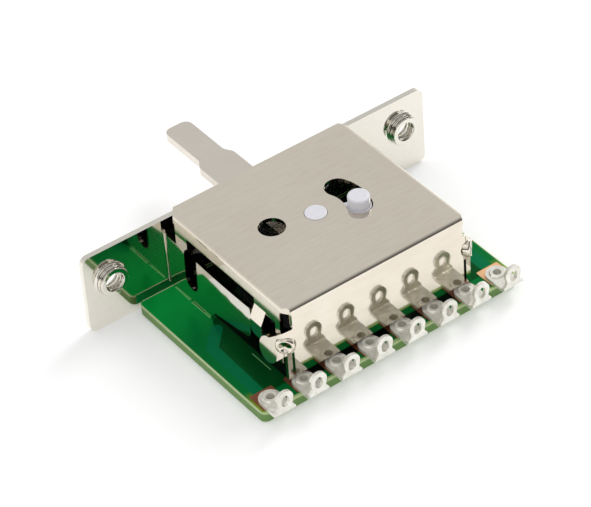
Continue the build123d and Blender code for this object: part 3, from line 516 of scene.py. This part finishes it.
def layFloor(look):
    half = look["floorSize"] / 2
    low = cadBox[0].z
    corners = [(-half, -half, low), (half, -half, low), (half, half, low), (-half, half, low)]
    mesh = bpy.data.meshes.new("floor")
    mesh.from_pydata(corners, [], [(0, 1, 2, 3)])
    floor = linkObject("floor", mesh)
    mat, tree = newMaterial("paper")
    rays = addNode(tree, "ShaderNodeLightPath").outputs
    seen = mathNode(tree, "MULTIPLY", rays["Is Camera Ray"], look["floorGlow"])
    mirrored = mathNode(tree, "MULTIPLY", mirroredRay(tree, rays), look["mirrorGlow"])
    darker = [channel * look["paperTone"] for channel in look["floorColour"]]
    tone = mixColour(tree, noise(tree, look["paperScale"]), rgba(look["floorColour"]), rgba(darker))
    paper = addNode(tree, "ShaderNodeBsdfDiffuse", {"Color": tone})
    glow = addNode(tree, "ShaderNodeEmission", {"Strength": mathNode(tree, "ADD", seen, mirrored)})
    both = addNode(tree, "ShaderNodeAddShader", {0: paper.outputs[0], 1: glow.outputs[0]})
    finishMaterial(tree, both.outputs[0])
    mesh.materials.append(mat)


def lightWorld(look):  # white to the camera, shaded in mirrors, even on dull surfaces
    world = bpy.data.worlds.new("studio")
    bpy.context.scene.world = world
    world.use_nodes = True
    tree = world.node_tree
    tree.nodes.clear()
    rays = addNode(tree, "ShaderNodeLightPath").outputs
    direction = addNode(tree, "ShaderNodeTexCoord").outputs["Generated"]
    axes = addNode(tree, "ShaderNodeSeparateXYZ", {0: direction}).outputs
    back = ramp(tree, axes["Z"], look["horizon"], look["zenith"], 0.0, look["zenithAt"])
    front = ramp(tree, axes["Z"], look["darkSide"], look["zenith"], *look["darkFrom"])
    toFront = ramp(tree, mathNode(tree, "MULTIPLY", axes["Y"], -1.0), 0.0, 1.0, *look["frontFrom"])
    toBack = mathNode(tree, "SUBTRACT", 1.0, toFront)
    shade = mathNode(tree, "ADD", mathNode(tree, "MULTIPLY", back, toBack),
                     mathNode(tree, "MULTIPLY", toFront, front))
    mirrored = mirroredRay(tree, rays)
    direct = mathNode(tree, "MAXIMUM", rays["Is Camera Ray"], mathNode(tree, "MULTIPLY", mirrored, shade))
    scattered = mathNode(tree, "SUBTRACT", 1.0, mathNode(tree, "MAXIMUM", rays["Is Camera Ray"], mirrored))
    even = mathNode(tree, "MULTIPLY", scattered, look["ambient"])
    sky = addNode(tree, "ShaderNodeBackground", {
        "Color": (1.0, 1.0, 1.0, 1.0), "Strength": mathNode(tree, "ADD", direct, even)})
    addNode(tree, "ShaderNodeOutputWorld", {"Surface": sky.outputs[0]})


def hangLamp(name, look, aim):
    lamp = bpy.data.lights.new(name, "AREA")
    lamp.shape = "DISK"
    lamp.size = look["size"]
    lamp.energy = look["power"]
    holder = linkObject(name, lamp)
    holder.location = look["place"]
    holder.rotation_euler = (Vector(aim) - Vector(look["place"])).to_track_quat("-Z", "Y").to_euler()


layFloor(studio)
lightWorld(studio)
for lampName, lampLook in studio["lamps"].items():
    hangLamp(lampName, lampLook, studio["aim"])

photoCamera = {  # fitted to the photograph at the real spacing of the screw holes
    "azimuth": -33.556, "elevation": 40.257, "roll": -4.605, "pixelFocal": 3203.1, "photoWidth": 591,
    "aim": (0.804 * mm, -6.161 * mm, -4.85 * mm), "distance": 367.481 * mm, "sensor": 36.0, "nearest": 0.02,
}


def setCamera(view):
    around = math.radians(view["azimuth"])
    up = math.radians(view["elevation"])
    tilt = math.radians(view["roll"])
    back = Vector((math.sin(around) * math.cos(up), -math.cos(around) * math.cos(up), math.sin(up)))
    right = Vector((0, 0, 1)).cross(back).normalized()
    over = back.cross(right)
    turnedRight = right * math.cos(tilt) + over * math.sin(tilt)
    turnedOver = over * math.cos(tilt) - right * math.sin(tilt)
    lens = bpy.data.cameras.new("photoCamera")
    lens.sensor_width = view["sensor"]
    lens.lens = view["pixelFocal"] / view["photoWidth"] * view["sensor"]
    lens.clip_start = view["nearest"]
    camera = linkObject("photoCamera", lens)
    axes = Matrix((turnedRight, turnedOver, back)).transposed().to_4x4()
    place = Vector(view["aim"]) + back * view["distance"]
    camera.matrix_world = Matrix.Translation(place) @ axes
    bpy.context.scene.camera = camera


setCamera(photoCamera)
bpy.context.scene.view_settings.view_transform = "Standard"
print("floor, light and camera set")
